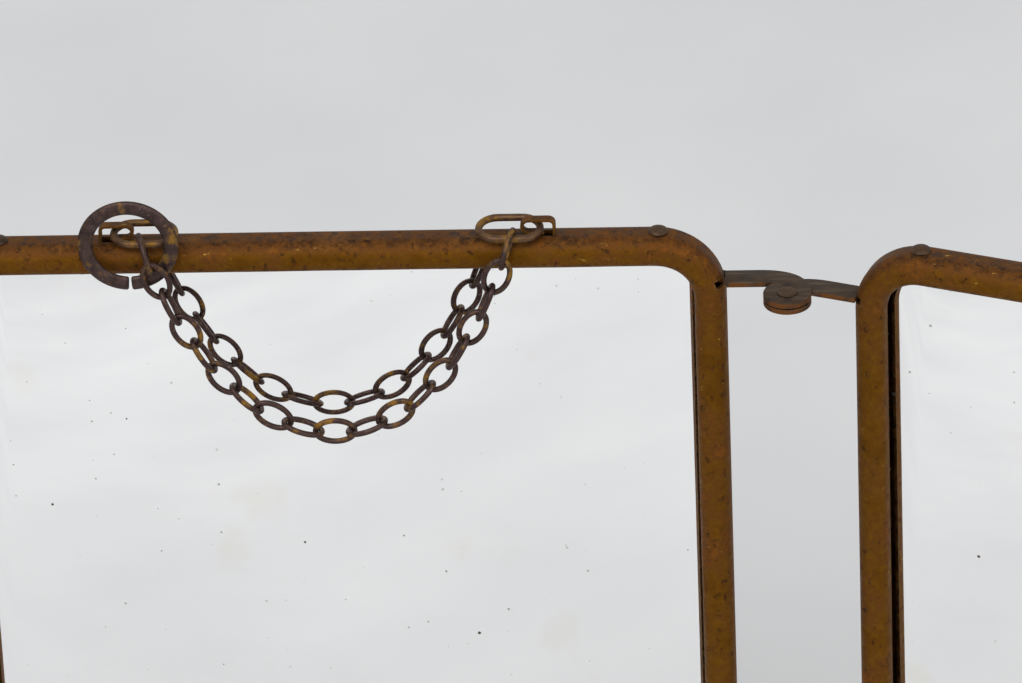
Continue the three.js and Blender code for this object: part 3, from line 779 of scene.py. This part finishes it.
def tail_rivet(name, domed):
    """Outer head, shank and flat inner head; z = 0 is the frame's outer face."""
    inner = -(2 * WALL + PLATE + 0.25)
    profile = [(0, inner - 0.7), (2.0, inner - 0.7), (2.2, inner - 0.5), (2.2, inner), (RIVET_RADIUS, inner)]
    if domed:
        head = RIVET_HEAD_RADIUS
        profile += [(RIVET_RADIUS, 0.08), (head - 0.05, 0.08), (head, 0.2), (head - 0.12, 0.42)]
        rise, dome = 0.1, 1.2
        profile += [(head * math.sin(a * DEG), rise + dome * math.cos(a * DEG))
                    for a in (66, 54, 42, 30, 18, 8)]
        profile.append((0, rise + dome))
    else:
        profile += [(RIVET_RADIUS, -0.08), (RIVET_RADIUS - 0.15, -0.02), (0, -0.02)]
    return turned(name, profile, 32, RIVET_STEEL)


def pivot_rivet(name):
    reach = PLATE + FIT / 2 + 0.15
    half = [(PIVOT_PIN_RADIUS, reach), (2.6, reach), (2.55, reach + 0.1), (2.3, reach + 0.2),
            (1.4, reach + 0.24), (0, reach + 0.25)]
    profile = [(r, -z) for r, z in half[::-1]] + half
    return turned(name, profile, 32, RIVET_STEEL)


def hinge_pieces():
    for side, wing in ((1, "right"), (-1, "left")):
        pivot_v = PIVOT_V_RIGHT if side > 0 else PIVOT_V_LEFT
        folded, panel = wing_place(side)
        for end, level in ((1, "upper"), (-1, "lower")):
            outer_z = PANEL_HEIGHT - HINGE_DROP if end > 0 else HINGE_DROP
            wing_z = PANEL_HEIGHT - WING_PLATE_DROP if end > 0 else WING_PLATE_DROP
            rim_z = PANEL_HEIGHT if end > 0 else 0
            tag = f"{wing}_{level}"
            pin = Matrix.Translation((side * PIVOT_X * MM, -pivot_v * MM, outer_z * MM))
            arm = hinge_arm(tag + "_fixed_strip", pivot_v, HINGE_DROP)
            place(arm, pin @ Matrix.Diagonal((-side, 1, end, 1)))
            settle(arm, "centre", tag + "_hinge_arm")

            arm = hinge_arm(tag + "_wing_strip", pivot_v, WING_PLATE_DROP)
            lift = Matrix.Translation((0, 0, wing_z * MM))
            place(arm, folded @ lift @ Matrix.Diagonal((side, 1, end, 1)))
            settle(arm, wing + "_wing", tag + "_wing_arm")

            rivet = pivot_rivet(tag + "_pin")
            centre_z = (outer_z + wing_z) / 2
            place(rivet, Matrix.Translation((side * PIVOT_X * MM, -pivot_v * MM, centre_z * MM)))
            settle(rivet, "centre", tag + "_pivot_rivet")

            for node, body, x, where in (
                ("_frame_rivet", "centre", side * (PANEL_WIDTH / 2 - RIVET_INSET), Matrix.Identity(4)),
                ("_wing_rivet", wing + "_wing", -side * (PANEL_WIDTH / 2 - RIVET_INSET), panel),
            ):
                rivet = tail_rivet(tag + node + "_head", end > 0)
                seat = Matrix.Translation((x * MM, -CROWN_V * MM, rim_z * MM))
                place(rivet, where @ seat @ Matrix.Diagonal((1, 1, end, 1)))
                settle(rivet, body, tag + node)


hinge_pieces()


# ---- Loops, chain and ring ----


def oval(length, width, wire, steps):
    """Middle line of an oval in x and y: two straight runs and two half circles."""
    radius, straight = (width - wire) / 2, (length - width) / 2
    points = []
    for end in (1, -1):
        for i in range(steps + 1):
            a = (-90 + 180 * i / steps) * DEG
            points.append(Vector((end * (straight + radius * math.cos(a)), end * radius * math.sin(a), 0)))
    return points


def ellipse(length, width, wire, steps):
    """Middle line of an ellipse in x and y."""
    a, b = (length - wire) / 2, (width - wire) / 2
    turns = [2 * math.pi * (i + 0.5) / steps for i in range(steps)]
    return [Vector((a * math.cos(t), b * math.sin(t), 0)) for t in turns]


def wire_ring(name, path, wire, material, seed):
    """A closed ring of bent wire, a little uneven, as old hand-closed wire is."""
    rings = wire_rings(path, Vector((0, 0, 1)), wire / 2, wire / 2, 16, True)
    for i, ring in enumerate(rings):
        swell = 1 + 0.035 * noise.noise(Vector((i * 0.35, seed, 0)))
        for j, p in enumerate(ring):
            ring[j] = path[i] + (p - path[i]) * min(swell, 1.03)
    points, faces = sweep(rings, closed=True)
    return face_out(make(name, points, faces, material))


def eye_loops():
    for side, name in ((-1, "left_eye_loop"), (1, "right_eye_loop")):
        reach, spread = (LOOP_LENGTH - LOOP_WIRE) / 2, (LOOP_WIDTH - LOOP_WIRE) / 2
        path = oval(LOOP_LENGTH, LOOP_WIDTH, LOOP_WIRE, 14)
        built = wire_ring(name + "_wire", path, LOOP_WIRE, LOOP_STEEL, 40 + side)
        spot = Vector((side * (LOOP_APEX_X - reach),
                       -HOOK_V + spread * math.cos(LOOP_TILT * DEG),
                       PANEL_HEIGHT + HOOK_RISE + spread * math.sin(LOOP_TILT * DEG)))
        place(built, Matrix.Translation(spot * MM) @ Matrix.Rotation(LOOP_TILT * DEG, 4, "X"))
        settle(built, "centre", name)


def hang(side):
    """An end link: its middle, its direction, its flat side, and where the next link hangs."""
    down, sideways, reach, rise = 48 * DEG, 0.3, 2.8, 0.5
    outward = math.sqrt(1 - sideways ** 2)
    along = Vector((-side * sideways, -outward * math.cos(down), -outward * math.sin(down)))
    lift = Vector((0, -math.sin(down), math.cos(down)))
    hook = Vector((side * HOOK_X, -HOOK_V, PANEL_HEIGHT + HOOK_RISE))
    middle = hook + along * reach + lift * rise
    return middle, along, lift, middle + along * END_LINK_REACH


def chain_layout():
    """Middle, direction and flat side of each link, from the left hook to the right one."""
    half = (LINK_COUNT - 1) // 2
    slopes = [math.atan((k + 1) * CHAIN_SLOPE) for k in range(half - 1)]
    joint = hang(1)[3]
    drop = LINK_PITCH * sum(math.sin(a) for a in slopes)
    low_z = joint.z - drop

    def forward(z):
        return CHAIN_LOW_V + (-joint.y - CHAIN_LOW_V) * max((z - low_z) / drop, 0) ** 1.5

    x, z = LINK_PITCH / 2, low_z
    joints = [Vector((x, -forward(z), z))]
    for slope in slopes:
        x += LINK_PITCH * math.cos(slope)
        z += LINK_PITCH * math.sin(slope)
        joints.append(Vector((x, -forward(z), z)))
    joints = [Vector((-j.x, j.y, j.z)) for j in joints[::-1]] + joints
    links = []
    for i, (a, b) in enumerate(zip(joints, joints[1:])):
        along = (b - a).normalized()
        flat = along.cross(Vector((0, -1, 0))).normalized()
        across = flat.cross(along).normalized() if i % 2 else flat
        links.append(((a + b) / 2, along, across))
    return [hang(-1)[:3], *links, hang(1)[:3]]


def chain_links():
    for i, (middle, along, across) in enumerate(chain_layout()):
        path = ellipse(LINK_LENGTH, LINK_WIDTH, LINK_WIRE, 40)
        built = wire_ring(f"link_{i + 1:02d}", path, LINK_WIRE, CHAIN_STEEL, i * 3.7)
        normal = along.cross(across).normalized()
        side = normal.cross(along).normalized()
        turn = Matrix((along, side, normal)).transposed().to_4x4()
        place(built, Matrix.Translation(middle * MM) @ turn)
        settle(built, "chain", f"chain_link_{i + 1:02d}")


def split_ring():
    """A ring of elliptical section with a narrow gap, its two cut ends rounded."""
    radius = RING_OUTER - RING_RADIAL / 2
    half_gap = RING_GAP / 2 / radius
    steps = 96
    path = []
    for i in range(steps + 1):
        a = -math.pi / 2 + half_gap + (2 * math.pi - 2 * half_gap) * i / steps
        path.append(Vector((radius * math.cos(a), radius * math.sin(a), 0)))
    rings = wire_rings(path, Vector((0, 0, 1)), RING_RADIAL / 2, RING_AXIAL / 2, 24, False)
    points, faces = sweep(rings, closed=False)
    built = face_out(make("split_ring", points, faces, RING_STEEL))
    soften(built, 0.6, 3)
    spot = Vector((RING_X, -RING_V, PANEL_HEIGHT + RING_RISE)) * MM
    place(built, Matrix.Translation(spot) @ Matrix.Rotation(90 * DEG, 4, "X"))
    settle(built, "ring", "hanging_ring")


eye_loops()
chain_links()
split_ring()


# ---- Stage, lights and camera ----


def stage():
    """A plain pale floor just under the mirror's lower edges."""
    reach, drop = 6.0, -0.0005
    mesh = bpy.data.meshes.new("floor")
    corners = [(-reach, -reach), (reach, -reach), (reach, reach), (-reach, reach)]
    mesh.from_pydata([(x, y, drop) for x, y in corners], [], [(0, 1, 2, 3)])
    mesh.materials.append(plain_floor())
    floor = bpy.data.objects.new("floor", mesh)
    bpy.context.scene.collection.objects.link(floor)


def area_light(name, spot, aim, width, height, power):
    data = bpy.data.lights.new(name, "AREA")
    data.shape = "RECTANGLE"
    data.size, data.size_y = width, height
    data.energy = power
    lamp = bpy.data.objects.new(name, data)
    bpy.context.scene.collection.objects.link(lamp)
    lamp.location = spot
    lamp.rotation_euler = (Vector(aim) - Vector(spot)).to_track_quat("-Z", "Y").to_euler()


def lights():
    """A large key light from above and a weaker fill from the right, in a pale grey world."""
    middle = (0.05, 0, 0.2)
    area_light("key", (-0.5, -1.3, 1.9), middle, 1.6, 1.2, 26)
    area_light("fill", (1.6, -1.2, 1.0), middle, 1.5, 1.5, 9)
    world = bpy.data.worlds.new("studio")
    world.use_nodes = True
    background = world.node_tree.nodes["Background"]
    background.inputs["Color"].default_value = (0.93, 0.94, 0.95, 1)
    background.inputs["Strength"].default_value = 0.75
    bpy.context.scene.world = world


# The view: azimuth and elevation in degrees, roll in radians, distance and aim in metres, lens in mm.
AZIMUTH = -3.1
ELEVATION = 30.5
ROLL = -0.0415
DISTANCE = 2.11
LENS = 291
AIM = Vector((0.0456, 0, 0.2307))


def camera():
    data = bpy.data.cameras.new("camera")
    data.lens = LENS
    data.sensor_width = 36
    data.clip_start = 0.01
    data.clip_end = 20
    made = bpy.data.objects.new("camera", data)
    bpy.context.scene.collection.objects.link(made)
    az, el = AZIMUTH * DEG, ELEVATION * DEG
    look = Vector((math.sin(az) * math.cos(el), math.cos(az) * math.cos(el), -math.sin(el)))
    right = Vector((math.cos(az), -math.sin(az), 0))
    up = right.cross(look)
    tilted_right = right * math.cos(ROLL) + up * math.sin(ROLL)
    tilted_up = up * math.cos(ROLL) - right * math.sin(ROLL)
    turn = Matrix((tilted_right, tilted_up, -look)).transposed().to_4x4()
    made.matrix_world = Matrix.Translation(AIM - look * DISTANCE) @ turn
    bpy.context.scene.camera = made


stage()
lights()
camera()
bpy.context.scene.view_settings.view_transform = "Standard"
